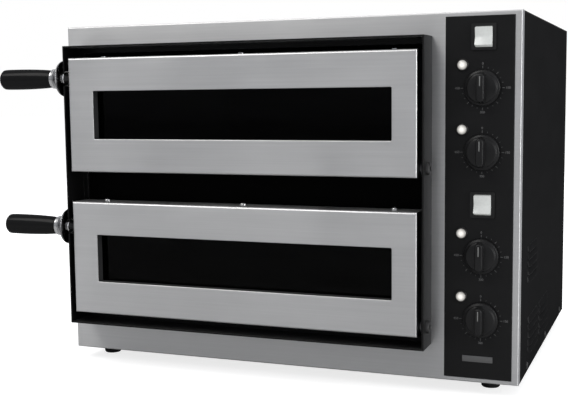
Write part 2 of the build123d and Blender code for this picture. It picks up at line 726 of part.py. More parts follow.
# ================================================================ doors
SKIN_T = 1.2
SKIN_R = 2.6                           # outside radius of the skin's folded front edges
SKIN_BACK = DOOR_BACK - 0.2
WIN_CORNER_R = 1.5
PAN_INSET = SKIN_T + 0.2               # inner pan from the skin's outside
PAN_DEPTH = 18.0
WELL_MARGIN = 10.0                     # outside of the pan's well round the window
WELL_FRONT = -20.8
DOOR_SCREW_X = [62.0, 247.0, 432.0]
DOOR_SCREW_Y = -17.0
DOOR_SCREW_HEAD = 3.3
HINGE_GAP = DOOR_X0 - SURROUND_X0      # surround's outside to the door, the same on both sides
HINGE_HEAD = 3.4                       # hinge screw head, outside the surround
SPRING_R, SPRING_WIRE_R, SPRING_LEG = 6.3, 0.6, 9.0

door_screws = [(x, DOOR_SCREW_Y) for x in DOOR_SCREW_X]


def door_outline(door_z):
    """Outside of a door, seen from the front."""
    return (DOOR_X0, DOOR_X1, door_z, door_z + DOOR_H)


def window(door_z, margin=0.0):
    """Window opening of a door, grown by a margin."""
    return grown((WIN_X0, WIN_X1, door_z + WIN_Z0, door_z + WIN_Z1), margin)


def door_skin(door_z):
    """Shallow stainless tray with a window, folded to a small radius all round."""
    outline = door_outline(door_z)
    with BuildPart() as hollow:
        with BuildSketch(front(SKIN_BACK)):
            corners(*grown(outline, -SKIN_T))
        extrude(amount=SKIN_BACK - DOOR_FRONT - SKIN_T)
        fillet(hollow.edges().group_by(Axis.Y)[0], radius=SKIN_R - SKIN_T)
    with BuildPart() as skin:
        with BuildSketch(front(SKIN_BACK)):
            corners(*outline)
        extrude(amount=SKIN_BACK - DOOR_FRONT)
        fillet(skin.edges().group_by(Axis.Y)[0], radius=SKIN_R)
        add(hollow.part, mode=Mode.SUBTRACT)
        with BuildSketch(front(DOOR_FRONT + 2)):
            rounded(*window(door_z), WIN_CORNER_R)
        extrude(amount=4, mode=Mode.SUBTRACT)
        fillet(skin.faces().sort_by(Axis.Y)[0].inner_wires()[0].edges(), radius=0.9)
        with BuildSketch(top(door_z + DOOR_H - 3)):
            discs(door_screws, 1.7)
        extrude(amount=4, mode=Mode.SUBTRACT)
        with BuildSketch(side(DOOR_X0 - 1)):
            discs([(HINGE_Y, door_z + HINGE_RISE)], 3.1)
        extrude(amount=DOOR_X1 - DOOR_X0 + 2, mode=Mode.SUBTRACT)
        with BuildSketch(side(DOOR_X0 - 1)):
            discs([(HANDLE_Y, door_z + HANDLE_RISE[door_z])], 4.1)
        extrude(amount=3, mode=Mode.SUBTRACT)
    return skin


def glass_frame(door_z):
    """Frame behind the window: its inner edge is the reveal, its rear lip carries the glass."""
    rear_y, front_lip_y = -27.1, -35.8
    with BuildPart() as frame:
        with BuildSketch(front(rear_y)):
            corners(*window(door_z, 1.5))
        extrude(amount=10.1)
        for lip_y in (rear_y, front_lip_y):
            with BuildSketch(front(lip_y)):
                corners(*window(door_z, 12))
            extrude(amount=1.4)
        with BuildSketch(front(-20.0)):
            rounded(*window(door_z), WIN_CORNER_R)
        extrude(amount=25, mode=Mode.SUBTRACT)
    return frame


def glass(door_z):
    """Window pane."""
    with BuildPart() as pane:
        with BuildSketch(front(-22.0)):
            rounded(*window(door_z, 12), 4.0)
        extrude(amount=4.0)
    return pane


def glass_seal(door_z):
    """Channel seal wrapped round the glass edge."""
    with BuildPart() as seal:
        with BuildSketch(front(-20.9)):
            corners(*window(door_z, 14))
            corners(*window(door_z, 8), Mode.SUBTRACT)
        extrude(amount=6.1)
        with BuildSketch(front(-21.95)):
            corners(*window(door_z, 12.1))
        extrude(amount=4.1, mode=Mode.SUBTRACT)
    return seal


def inner_pan(door_z):
    """Pan nested in the skin; the well round its window presses on the glass seal."""
    outline = door_outline(door_z)
    with BuildPart() as pan:
        with BuildSketch(front(DOOR_BACK)):
            corners(*grown(outline, -PAN_INSET))
        extrude(amount=PAN_DEPTH)
        with BuildSketch(front(DOOR_BACK - SKIN_T)):
            corners(*grown(outline, -PAN_INSET - SKIN_T))
        extrude(amount=PAN_DEPTH, mode=Mode.SUBTRACT)
        with BuildSketch(front(DOOR_BACK - SKIN_T)):
            corners(*window(door_z, WELL_MARGIN))
        extrude(amount=DOOR_BACK - SKIN_T - WELL_FRONT)
        with BuildSketch(front(DOOR_BACK + 1)):
            corners(*window(door_z, WELL_MARGIN - SKIN_T))
        extrude(amount=30, mode=Mode.SUBTRACT)
        # hinge blocks in the lower corners
        for block_x in (DOOR_X0 + 2.0, DOOR_X1 - 11.0):
            with BuildSketch(side(block_x)):
                corners(HINGE_Y - 6, HINGE_Y + 6, door_z + 3.0, door_z + 16.0)
            extrude(amount=9.0)
        with BuildSketch(side(DOOR_X0)):
            discs([(HINGE_Y, door_z + HINGE_RISE)], 3.05)
        extrude(amount=DOOR_X1 - DOOR_X0, mode=Mode.SUBTRACT)
        with BuildSketch(top(door_z + DOOR_H - 4)):
            discs(door_screws, 1.6)
        extrude(amount=4, mode=Mode.SUBTRACT)
    return pan


def door_insulation(door_z):
    """Strips of insulation below and above the window."""
    with BuildPart() as strips:
        for rise, height in ((18.0, 7.5), (114.0, 15.0)):
            with BuildSketch(top(door_z + rise)):
                corners(40.0, 447.0, -34.0, -9.0)
            extrude(amount=height)
    return strips


def skin_screws(door_z):
    """Three pan-head screws down through the skin's top return."""
    z_top = door_z + DOOR_H
    with BuildPart() as screws:
        for x in DOOR_SCREW_X:
            with BuildSketch(upright(x, DOOR_SCREW_Y, z_top)):
                with BuildLine():
                    pan_head_screw(shank_length=8.0, shank_r=1.55, head_r=4.1, rim=1.6,
                                   crown=(2.7, 2.85), head_height=DOOR_SCREW_HEAD)
                make_face()
            revolve(axis=Axis(at(x, DOOR_SCREW_Y, z_top), (0, 0, 1)))
            with BuildSketch(top(z_top + DOOR_SCREW_HEAD)):
                with Locations((x, DOOR_SCREW_Y)):
                    cross_recess(4.0, 0.8)
            extrude(amount=-1.6, mode=Mode.SUBTRACT)
    return screws


# Half section: distance inward from the surround's outside, radius
HINGE_SCREW_SECTION = [
    (-HINGE_HEAD, 0), (-HINGE_HEAD, 6.0), (-2.6, 7.4), (-0.1, 7.4), (-0.1, 4.0),
    (HINGE_GAP - 0.1, 4.0), (HINGE_GAP - 0.1, 3.0), (HINGE_GAP + 12.0, 3.0),
    (HINGE_GAP + 12.0, 0), (-HINGE_HEAD, 0),
]


def hinge_screws(door_z):
    """Shoulder screws: the shoulder turns in the surround's cheek, the thread is in the door."""
    z = door_z + HINGE_RISE
    with BuildPart() as screws:
        for cheek_x, inward in ((SURROUND_X0, 1), (SURROUND_X1, -1)):
            with BuildSketch(Plane(origin=at(cheek_x, HINGE_Y, z),
                                   x_dir=(inward, 0, 0), z_dir=(0, -inward, 0))):
                with BuildLine():
                    Polyline(*HINGE_SCREW_SECTION)
                make_face()
            revolve(axis=Axis(at(cheek_x, HINGE_Y, z), (1, 0, 0)))
            # hexagonal socket
            with BuildSketch(Plane(origin=at(cheek_x - inward * HINGE_HEAD, HINGE_Y, z),
                                   x_dir=(0, 1, 0), z_dir=(-inward, 0, 0))):
                RegularPolygon(2.9, 6)
            extrude(amount=-2.0, mode=Mode.SUBTRACT)
    return screws


def door_springs(door_z):
    """Torsion springs round the hinge shoulders, in the gap beside the door."""
    with BuildPart() as springs:
        for coil_x in (SURROUND_X0 + 3.1, DOOR_X1 + 1.4):
            with BuildLine() as coil:
                Helix(pitch=1.5, height=3.0, radius=SPRING_R,
                      center=at(coil_x, HINGE_Y, door_z + HINGE_RISE), direction=(1, 0, 0))
            with BuildSketch(Plane(origin=coil.line @ 0, z_dir=coil.line % 0)):
                Circle(SPRING_WIRE_R)
            sweep(path=coil.line, is_frenet=True)
            # straight legs run on from both ends of the coil
            for end, leg in ((0, -SPRING_LEG), (1, SPRING_LEG)):
                with BuildSketch(Plane(origin=coil.line @ end, z_dir=coil.line % end)):
                    Circle(SPRING_WIRE_R)
                extrude(amount=leg)
    return springs


# ---------------------------------------------------------------- handles
# A long bolt from inside the door clamps collar, flange, ferrule and grip.
# Half sections are x, radius.
BOLT_R = 4.0
BOLT_END = -60.0
HANDLE_BORE_R = 4.08
COLLAR_END = DOOR_X0 - 0.05
COLLAR_SECTION = [
    (13.1, HANDLE_BORE_R), (13.1, 8.2), (13.5, 8.6), (14.7, 8.6), (15.1, 8.2), (15.1, 5.1),
    (COLLAR_END, 5.1), (COLLAR_END, HANDLE_BORE_R), (13.1, HANDLE_BORE_R),
]


def handle_plane(door_z):
    """Section plane through a handle's axis."""
    return upright(0, HANDLE_Y, door_z + HANDLE_RISE[door_z])


def handle_axis(door_z):
    """A handle's axis."""
    return Axis(at(0, HANDLE_Y, door_z + HANDLE_RISE[door_z]), (1, 0, 0))


def handle_bolt(door_z):
    """Bolt with its hexagonal head inside the door."""
    axis_point = (HANDLE_Y, door_z + HANDLE_RISE[door_z])
    with BuildPart() as bolt:
        with BuildSketch(side(26.3)):
            with Locations(axis_point):
                RegularPolygon(7.2, 6)
        extrude(amount=5.0)
        with BuildSketch(side(BOLT_END)):
            with Locations(axis_point):
                Circle(BOLT_R)
        extrude(amount=87.0)
        chamfer(bolt.faces().sort_by(Axis.X)[0].edges(), length=0.8)
    return bolt


def handle_collar(door_z):
    """Collar between the flange and the door."""
    with BuildPart() as collar:
        with BuildSketch(handle_plane(door_z)):
            with BuildLine():
                Polyline(*COLLAR_SECTION)
            make_face()
        revolve(axis=handle_axis(door_z))
    return collar


def handle_flange(door_z):
    """Flared flange, widest next to the door."""
    with BuildPart() as flange:
        with BuildSketch(handle_plane(door_z)):
            with BuildLine():
                Line((13.0, HANDLE_BORE_R), (13.0, FLANGE_R - 0.6))
                Line((13.0, FLANGE_R - 0.6), (12.5, FLANGE_R))
                Line((12.5, FLANGE_R), (11.6, FLANGE_R))
                ThreePointArc((11.6, FLANGE_R), (8.0, 16.9), (1.5, 13.0))
                Line((1.5, 13.0), (1.5, HANDLE_BORE_R))
                Line((1.5, HANDLE_BORE_R), (13.0, HANDLE_BORE_R))
            make_face()
        revolve(axis=handle_axis(door_z))
    return flange


def handle_ferrule(door_z):
    """Waisted ring between the flange and the grip."""
    with BuildPart() as ferrule:
        with BuildSketch(handle_plane(door_z)):
            with BuildLine():
                Line((1.4, HANDLE_BORE_R), (1.4, 12.2))
                Line((1.4, 12.2), (0.9, 12.7))
                ThreePointArc((0.9, 12.7), (-1.3, 11.9), (-3.2, 12.1))
                Line((-3.2, 12.1), (-3.9, 11.5))
                Line((-3.9, 11.5), (-3.9, HANDLE_BORE_R))
                Line((-3.9, HANDLE_BORE_R), (1.4, HANDLE_BORE_R))
            make_face()
        revolve(axis=handle_axis(door_z))
    return ferrule


def handle_grip(door_z):
    """Grip with a domed end and a blind bore for the bolt."""
    start, bore_end = -4.0, BOLT_END - 2.0
    with BuildPart() as grip:
        with BuildSketch(handle_plane(door_z)):
            with BuildLine():
                Line((start, HANDLE_BORE_R), (start, 10.3))
                Spline((start, 10.3), (-14.0, 11.4), (-32.0, 12.3), (-52.0, 12.7), (-72.5, 12.5))
                Spline((-72.5, 12.5), (-78.0, 9.4), (GRIP_END, 0),
                       tangents=((-1, -0.08), (0, -1)))
                Line((GRIP_END, 0), (bore_end, 0))
                Line((bore_end, 0), (bore_end, HANDLE_BORE_R))
                Line((bore_end, HANDLE_BORE_R), (start, HANDLE_BORE_R))
            make_face()
        revolve(axis=handle_axis(door_z))
    return grip


DOOR_PIECES = {
    "door_skin": door_skin,
    "door_glass_frame": glass_frame,
    "door_glass": glass,
    "door_glass_seal": glass_seal,
    "door_inner_pan": inner_pan,
    "door_insulation": door_insulation,
    "door_skin_screws": skin_screws,
    "door_hinge_screws": hinge_screws,
    "door_springs": door_springs,
    "handle_bolt": handle_bolt,
    "handle_collar": handle_collar,
    "handle_flange": handle_flange,
    "handle_ferrule": handle_ferrule,
    "handle_grip": handle_grip,
}
for deck, door_z in zip(("upper", "lower"), DOORS):
    for piece_name, build_piece in DOOR_PIECES.items():
        finish(build_piece(door_z), f"{deck}_{piece_name}")
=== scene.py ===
# A two-deck oven with glazed doors, turned handles, four heat knobs and two lit rocker switches.
# The front faces -Y, the right side +X and the top +Z. Local numbers are millimetres from the
# lower left front corner of the front fascia. Materials and stage work in metres.
import bpy
import bmesh
import json
import math
from mathutils import Matrix, Vector


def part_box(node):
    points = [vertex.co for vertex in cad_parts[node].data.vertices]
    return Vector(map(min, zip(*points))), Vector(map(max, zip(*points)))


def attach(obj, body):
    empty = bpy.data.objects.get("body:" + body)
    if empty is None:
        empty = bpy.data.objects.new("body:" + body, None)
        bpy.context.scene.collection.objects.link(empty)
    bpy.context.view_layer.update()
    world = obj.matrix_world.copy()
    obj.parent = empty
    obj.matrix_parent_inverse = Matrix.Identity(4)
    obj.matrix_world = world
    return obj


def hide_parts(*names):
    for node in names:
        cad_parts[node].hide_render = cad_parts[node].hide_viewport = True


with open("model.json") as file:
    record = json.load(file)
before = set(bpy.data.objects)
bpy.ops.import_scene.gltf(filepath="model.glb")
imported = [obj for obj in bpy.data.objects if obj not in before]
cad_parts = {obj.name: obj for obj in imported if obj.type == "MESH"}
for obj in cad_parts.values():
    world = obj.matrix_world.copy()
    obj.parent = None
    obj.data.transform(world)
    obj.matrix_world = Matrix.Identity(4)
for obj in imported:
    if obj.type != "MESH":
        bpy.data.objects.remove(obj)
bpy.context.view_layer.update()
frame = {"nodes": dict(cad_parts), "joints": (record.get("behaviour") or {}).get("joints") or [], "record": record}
NODES = frame["nodes"]
SLOTS = {part["node"]: part["material_slot"] for part in frame["record"]["subparts"]}
MM = 0.001
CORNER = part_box("front_fascia")[0]
OUT = Vector((0, -1, 0))        # off the front of the oven


def point(x, y, z):
    """World position of a local point."""
    return Vector((CORNER.x + x * MM, CORNER.y + y * MM, CORNER.z + z * MM))


def local(position):
    return (position - CORNER) / MM


def local_box(node):
    low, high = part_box(node)
    return local(low), local(high)


def centre(node):
    low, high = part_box(node)
    return local((low + high) / 2)


PANEL_LO, PANEL_HI = local_box("control_panel")
PANEL_FRONT = PANEL_LO.y
DECKS = ("upper", "lower")
KNOBS = [f"{deck}_deck_{heat}" for deck in DECKS for heat in ("top", "bottom")]


# ------------------------------------------------------------------ node trees
class Tree:
    """Short names for building the node tree of a material or world."""

    PRINCIPLED = {
        "base": "Base Color", "rough": "Roughness", "metal": "Metallic", "normal": "Normal",
        "spec": "Specular IOR Level", "coat": "Coat Weight", "aniso": "Anisotropic",
        "tangent": "Tangent", "emit": "Emission Color", "emit_power": "Emission Strength",
        "sheen": "Sheen Weight",
    }

    def __init__(self, owner, output="OutputMaterial"):
        owner.use_nodes = True
        self.tree = owner.node_tree
        self.tree.nodes.clear()
        self.output = self.node(output)

    def put(self, socket, value):
        """Link or set an input. None leaves it alone; a colour gets its alpha here."""
        if isinstance(value, bpy.types.NodeSocket):
            self.tree.links.new(value, socket)
        elif socket.type == "RGBA" and value is not None:
            socket.default_value = (*value, 1.0)
        elif value is not None:
            socket.default_value = value

    def node(self, kind, inputs=None, **properties):
        node = self.tree.nodes.new("ShaderNode" + kind)
        for key, value in properties.items():
            setattr(node, key, value)
        for key, value in (inputs or {}).items():
            self.put(node.inputs[key], value)
        return node

    def object_coords(self):
        return self.node("TexCoord").outputs["Object"]

    def coords(self, stretch):
        inputs = {"Vector": self.object_coords(), "Scale": stretch}
        return self.node("Mapping", inputs).outputs["Vector"]

    def object_x(self):
        return self.node("SeparateXYZ", {0: self.object_coords()}).outputs["X"]

    def noise(self, scale, detail=3.0, rough=0.5, distort=0.0, stretch=(1, 1, 1)):
        inputs = {"Vector": self.coords(stretch), "Scale": scale, "Detail": detail,
                  "Roughness": rough, "Distortion": distort}
        return self.node("TexNoise", inputs).outputs["Fac"]

    def voronoi(self, scale, output="Distance"):
        inputs = {"Vector": self.coords((1, 1, 1)), "Scale": scale}
        return self.node("TexVoronoi", inputs, feature="F1").outputs[output]

    def span(self, value, ends=(0.3, 0.7), to=(0.0, 1.0)):
        """Map the range between ends onto the range to, clamped."""
        inputs = {"Value": value, "From Min": ends[0], "From Max": ends[1],
                  "To Min": to[0], "To Max": to[1]}
        return self.node("MapRange", inputs).outputs["Result"]

    def math(self, operation, first, second, third=None):
        inputs = {0: first, 1: second, 2: third}
        return self.node("Math", inputs, operation=operation).outputs[0]

    def mix(self, factor, low, high):
        """Colour that runs from low at factor 0 to high at factor 1."""
        return self.node("Mix", {0: factor, 6: low, 7: high}, data_type="RGBA").outputs[2]

    def tints(self, colour, rows):
        """Lay tints over a colour. Rows: mask, mask range, opacity at each end, tint."""
        for mask, ends, opacity, tint in rows:
            colour = self.mix(self.span(mask, ends, opacity), colour, tint)
        return colour

    def bump(self, height, strength, distance, normal=None):
        inputs = {"Strength": strength, "Distance": distance, "Height": height, "Normal": normal}
        return self.node("Bump", inputs).outputs["Normal"]

    def bevel(self, radius):
        return self.node("Bevel", {"Radius": radius}, samples=4).outputs["Normal"]

    def fresnel(self, ior, normal=None):
        return self.node("Fresnel", {"IOR": ior, "Normal": normal}).outputs[0]

    def glossy(self, rough, normal=None):
        inputs = {"Color": (1, 1, 1), "Roughness": rough, "Normal": normal}
        return self.node("BsdfGlossy", inputs).outputs[0]

    def surface(self, shader):
        self.put(self.output.inputs["Surface"], shader)

    def mixed_surface(self, factor, first, second):
        self.surface(self.node("MixShader", {0: factor, 1: first, 2: second}).outputs[0])

    def principled(self, **values):
        inputs = {self.PRINCIPLED[key]: value for key, value in values.items()}
        self.surface(self.node("BsdfPrincipled", inputs).outputs[0])


MATERIALS = {}


def material(name):
    """Register a new material and return its empty tree."""
    MATERIALS[name] = bpy.data.materials.new(name)
    return Tree(MATERIALS[name])


def grey(level):
    return (level, level, level)


def scaled(colour, gain):
    return [min(1.0, channel * gain) for channel in colour]


# ------------------------------------------------------------------ families of materials
def brushed(name, base, rough, streak, aniso=0.55):
    """Stainless steel brushed along X; streak is how far the grain changes its brightness."""
    tree = material(name)
    fine = tree.noise(scale=1.0, detail=2.0, rough=0.6, stretch=(14.0, 2600.0, 2600.0))
    broad = tree.noise(scale=1.0, rough=0.55, stretch=(3.0, 420.0, 420.0))
    cloud = tree.noise(scale=7.0, distort=0.6)
    gain = tree.math("ADD", tree.span(fine, (0.25, 0.75), to=(-streak, streak)),
                     tree.span(broad, to=(-streak * 0.6, streak * 0.6)))
    gain = tree.math("ADD", gain, tree.span(cloud, to=(-0.035, 0.035)))
    gain = tree.math("ADD", gain, 1.0)
    colour = tree.node("HueSaturation", {"Color": grey(base), "Value": gain}).outputs["Color"]
    roughness = tree.math("ADD", tree.span(fine, (0.2, 0.8), to=(rough - 0.07, rough + 0.09)),
                          tree.span(cloud, (0.35, 0.7), to=(-0.02, 0.05)))
    tangent = tree.node("VectorTransform", {0: (0.0, 0.0, 1.0)}, vector_type="VECTOR",
                        convert_from="OBJECT", convert_to="WORLD").outputs[0]
    tree.principled(base=colour, rough=roughness, metal=1.0, aniso=aniso, tangent=tangent,
                    normal=tree.bump(fine, strength=0.12, distance=0.00008))


def painted(name, base, rough, sheen, graze, peel, edge_wear_highlight_grey, edge_wear_highlight_strength, round_edge=0.0007):
    """Powder coat or enamel with orange peel, smears, lightened edges and a thin reflection.

    sheen is the reflection face on and graze its gain at a slant; peel is the bump strength;
    edge_wear_highlight_grey is the grey level of the lightened edges, which stand for rubbed wear and a painted
    highlight at once, and edge_wear_highlight_strength their strength; round_edge is in metres.
    """
    tree = material(name)
    grain = tree.noise(scale=1500.0, detail=2.0)
    smear = tree.noise(scale=9.0, detail=4.0, rough=0.6, distort=0.8, stretch=(1, 1, 2.6))
    speck = tree.noise(scale=260.0, detail=2.0, rough=0.6)

    # 1 on sharp edges, 0 on flat faces, where the rounded and true normals agree
    agreement = tree.node("VectorMath", {
        0: tree.bevel(radius=0.0008),
        1: tree.node("NewGeometry").outputs["True Normal"],
    }, operation="DOT_PRODUCT").outputs["Value"]
    edge = tree.span(agreement, (0.995, 0.94))
    nick = tree.span(tree.noise(scale=90.0, detail=4.0, rough=0.7), (0.42, 0.62), to=(0.15, 1.0))
    # sharp edges lightened towards the grey level: partly rubbed wear, partly a painted highlight
    worn_and_highlit_edges = tree.math("MULTIPLY", tree.math("MULTIPLY", edge, nick), edge_wear_highlight_strength)

    body = tree.mix(tree.span(smear, (0.3, 0.75)), scaled(base, 0.9), scaled(base, 1.12))
    body = tree.mix(tree.span(speck, (0.62, 0.78), to=(0.0, 0.35)), body, scaled(base, 1.6))
    colour = tree.mix(worn_and_highlit_edges, body, grey(edge_wear_highlight_grey))
    roughness = tree.math("ADD", tree.span(smear, to=(rough - 0.04, rough + 0.05)),
                          tree.span(speck, to=(-0.03, 0.03)))
    normal = tree.bump(grain, strength=peel, distance=0.0002, normal=tree.bevel(round_edge))
    diffuse = tree.node("BsdfDiffuse", {"Color": colour, "Normal": normal}).outputs[0]
    reflection = tree.math("MULTIPLY_ADD", tree.fresnel(ior=1.4, normal=normal), graze, sheen)
    tree.mixed_surface(reflection, diffuse, tree.glossy(roughness, normal))


def plain(name, base, rough, metal=0.0, spec=0.4, vary=0.15, scale=60.0, bump=0.05,
          bump_scale=700.0):
    """Moulded, plated or rubber surface with mild variation in colour and roughness."""
    tree = material(name)
    cloud = tree.noise(scale=scale, rough=0.6)
    grain = tree.noise(scale=bump_scale, detail=2.0)
    colour = tree.mix(tree.span(cloud), scaled(base, 1 - vary), scaled(base, 1 + vary))
    roughness = tree.span(cloud, to=(max(0.02, rough * 0.85), rough * 1.2))
    tree.principled(base=colour, rough=roughness, metal=metal, spec=spec,
                    normal=tree.bump(grain, strength=bump, distance=0.0002))


# ------------------------------------------------------------------ single materials
def chamber_steel():
    """Satin sheet that has been hot: rolling grain, sparkle, heat tints and soot."""
    tree = material("chamber_steel")
    roll = tree.noise(scale=1.0, detail=2.0, rough=0.6, stretch=(10, 900, 900))
    cells = tree.node("SeparateColor", {0: tree.voronoi(scale=520.0, output="Color")}).outputs
    heat = tree.noise(scale=5.0, detail=2.0, rough=0.4, distort=0.3)
    soot = tree.noise(scale=16.0, detail=4.0, rough=0.6, distort=0.3, stretch=(1, 1, 1.6))
    colour = tree.mix(cells[0], low=(0.54, 0.54, 0.535), high=(0.64, 0.64, 0.63))
    colour = tree.tints(colour, (
        (roll, (0.3, 0.7), (0.0, 0.30), (0.42, 0.42, 0.415)),       # rolling grain
        (heat, (0.44, 0.66), (0.0, 0.50), (0.55, 0.44, 0.27)),      # straw
        (heat, (0.60, 0.72), (0.0, 0.40), (0.28, 0.29, 0.38)),      # blue
        (soot, (0.60, 0.84), (0.0, 0.55), (0.10, 0.085, 0.075)),    # soot
    ))
    rough = tree.math("ADD", tree.span(soot, (0.3, 0.8), to=(0.30, 0.52)),
                      tree.span(cells[1], (0.0, 1.0), to=(-0.04, 0.04)))
    tree.principled(base=colour, rough=rough, metal=1.0,
                    normal=tree.bump(roll, strength=0.10, distance=0.0001))


def refractory_stone():
    """Fired stone: sandy body, light and dark grains, open pores darkened as painted shade, and soft browning."""
    tree = material("refractory_stone")
    grit = tree.noise(scale=1500.0, rough=0.75)
    mottle = tree.noise(scale=190.0, rough=0.6)
    speck = tree.voronoi(scale=430.0)
    pores = tree.voronoi(scale=210.0)
    brown = tree.noise(scale=6.0, detail=2.0, rough=0.45)
    colour = tree.mix(tree.span(grit, (0.32, 0.68)),
                      low=(0.42, 0.345, 0.245), high=(0.58, 0.495, 0.375))
    colour = tree.tints(colour, (
        (mottle, (0.40, 0.70), (0.0, 0.45), (0.64, 0.57, 0.46)),    # light grains
        (speck, (0.0, 0.20), (0.85, 0.0), (0.20, 0.155, 0.105)),    # dark grains
        # painted shade in the pores
        (pores, (0.0, 0.10), (0.8, 0.0), (0.10, 0.08, 0.06)),       # pores
        (brown, (0.48, 0.70), (0.0, 0.50), (0.235, 0.165, 0.10)),   # browning
    ))
    pits = tree.math("ADD", tree.span(speck, (0.0, 0.4), to=(0.0, 0.5)),
                     tree.span(pores, (0.0, 0.12), to=(0.0, 0.9)))
    height = tree.math("ADD", tree.math("MULTIPLY", grit, 0.7), pits)
    tree.principled(base=colour, rough=0.9, spec=0.18,
                    normal=tree.bump(height, strength=0.55, distance=0.0005))


def element_sheath():
    tree = material("element_sheath")
    scale_marks = tree.noise(scale=60.0, detail=4.0, rough=0.6)
    colour = tree.mix(tree.span(scale_marks), low=(0.055, 0.05, 0.047), high=(0.16, 0.13, 0.11))
    tree.principled(base=colour, rough=0.62, metal=0.6,
                    normal=tree.bump(scale_marks, strength=0.25, distance=0.0004))


def insulation_fibre():
    tree = material("insulation_fibre")
    tufts = tree.noise(scale=120.0, detail=5.0, rough=0.7, distort=1.5, stretch=(1, 1, 4))
    colour = tree.mix(tree.span(tufts), low=(0.62, 0.60, 0.55), high=(0.86, 0.85, 0.82))
    tree.principled(base=colour, rough=0.95, spec=0.1, sheen=0.3,
                    normal=tree.bump(tufts, strength=0.6, distance=0.002))


def door_glass():
    """Dark door glass: mostly absorbs, with a thin reflection and a faint wiped haze."""
    tree = material("door_glass")
    haze = tree.noise(scale=11.0, detail=4.0, rough=0.6, distort=1.0, stretch=(1, 1, 5))
    clear = tree.node("BsdfTransparent", {"Color": (0.16, 0.16, 0.165)}).outputs[0]
    gloss = tree.glossy(rough=tree.span(haze, to=(0.03, 0.12)))
    reflection = tree.math("MULTIPLY", tree.fresnel(ior=1.45), tree.span(haze, to=(0.10, 0.16)))
    tree.mixed_surface(reflection, clear, gloss)


LAMP_X = 504.0
LAMP_Z = (354.3, 283.9, 169.0, 97.9)
LAMP_RADIUS = 5.5


def lamp_falloff(tree):
    """1 in front of each lamp, falling to a faint glow at LAMP_RADIUS."""
    coords = tree.object_coords()
    nearest = None
    for z in LAMP_Z:
        flat = tree.node("VectorMath", {0: coords, 1: (1, 0, 1)}, operation="MULTIPLY")
        lamp = point(LAMP_X, 0, z)
        inputs = {0: flat.outputs["Vector"], 1: (lamp.x, 0, lamp.z)}
        distance = tree.node("VectorMath", inputs, operation="DISTANCE").outputs["Value"]
        nearest = distance if nearest is None else tree.math("MINIMUM", nearest, distance)
    return tree.span(nearest, (LAMP_RADIUS * 0.30 * MM, LAMP_RADIUS * MM), to=(1.0, 0.10))


def lit(name, body, glow, power, rim, cell_scale, lamps=False):
    """Lit translucent plastic, dimming to rim times its brightness away from the eye."""
    tree = material(name)
    facing = tree.node("LayerWeight", {"Blend": 0.35}).outputs["Facing"]
    cells = tree.voronoi(scale=cell_scale)
    level = tree.math("MULTIPLY", tree.span(facing, (0.0, 0.9), to=(1.0, rim)),
                      tree.span(cells, (0.0, 0.7), to=(0.9, 1.06)))
    if lamps:
        level = tree.math("MULTIPLY", level, lamp_falloff(tree))
    tree.principled(base=body, rough=0.22, spec=0.5, coat=0.3, emit=glow,
                    emit_power=tree.math("MULTIPLY", level, power),
                    normal=tree.bump(cells, strength=0.06, distance=0.0002))


# the bright washer is a painted highlight
COLLAR_EDGE_X = 15.1        # bright washer to the left of this, dark sleeve to the right
PLUG_PIN_X = 336.98         # metal pins to the left of this, rubber body to the right


def handle_collar_painted_highlight():
    """Washer against the flange lightened as a painted highlight; sleeve dark from there into the door."""
    tree = material("handle_collar_painted_highlight")
    sleeve = tree.math("GREATER_THAN", tree.object_x(), CORNER.x + COLLAR_EDGE_X * MM)
    grain = tree.noise(scale=400.0, rough=0.6)
    rough = tree.math("ADD", tree.math("MULTIPLY", sleeve, 0.2),
                      tree.span(grain, to=(0.20, 0.26)))
    tree.principled(base=tree.mix(sleeve, low=grey(0.96), high=grey(0.02)), rough=rough,
                    metal=tree.span(sleeve, (0.0, 1.0), to=(1.0, 0.3)),
                    normal=tree.bump(grain, strength=0.02, distance=0.0001))


def power_plug_mix():
    """Rubber plug body, nickel pins."""
    tree = material("power_plug_mix")
    pins = tree.math("LESS_THAN", tree.object_x(), CORNER.x + PLUG_PIN_X * MM)
    grain = tree.noise(scale=700.0, rough=0.6)
    rubber = tree.mix(grain, low=grey(0.011), high=grey(0.02))
    tree.principled(base=tree.mix(pins, low=rubber, high=(0.72, 0.70, 0.64)), metal=pins,
                    rough=tree.span(pins, (0.0, 1.0), to=(0.5, 0.18)), spec=0.3,
                    normal=tree.bump(grain, strength=0.12, distance=0.0002))


# ------------------------------------------------------------------ material settings
brushed("stainless_door", base=0.58, rough=0.36, streak=0.045)
brushed("stainless_fascia", base=0.59, rough=0.44, streak=0.045, aniso=0.72)
painted("black_casing_paint", base=(0.0085, 0.0085, 0.0088), rough=0.44,
        sheen=0.006, graze=0.010, peel=0.12, edge_wear_highlight_grey=0.10, edge_wear_highlight_strength=0.8)
painted("black_surround_paint", base=(0.0022, 0.0022, 0.0023), rough=0.40,
        sheen=0.002, graze=0.50, peel=0.04, edge_wear_highlight_grey=0.02, edge_wear_highlight_strength=0.4)
painted("black_control_panel", base=(0.0112, 0.0112, 0.0115), rough=0.38,
        sheen=0.008, graze=0.03, peel=0.03, edge_wear_highlight_grey=0.05, edge_wear_highlight_strength=0.5)
# shaded copy of the black paint: darker and less reflective than the surround's, as painted shade in the recess
painted("recess_black_painted_shade", base=grey(0.0012), rough=0.45,
        sheen=0.0008, graze=0.01, peel=0.04, edge_wear_highlight_grey=0.01, edge_wear_highlight_strength=0.3)
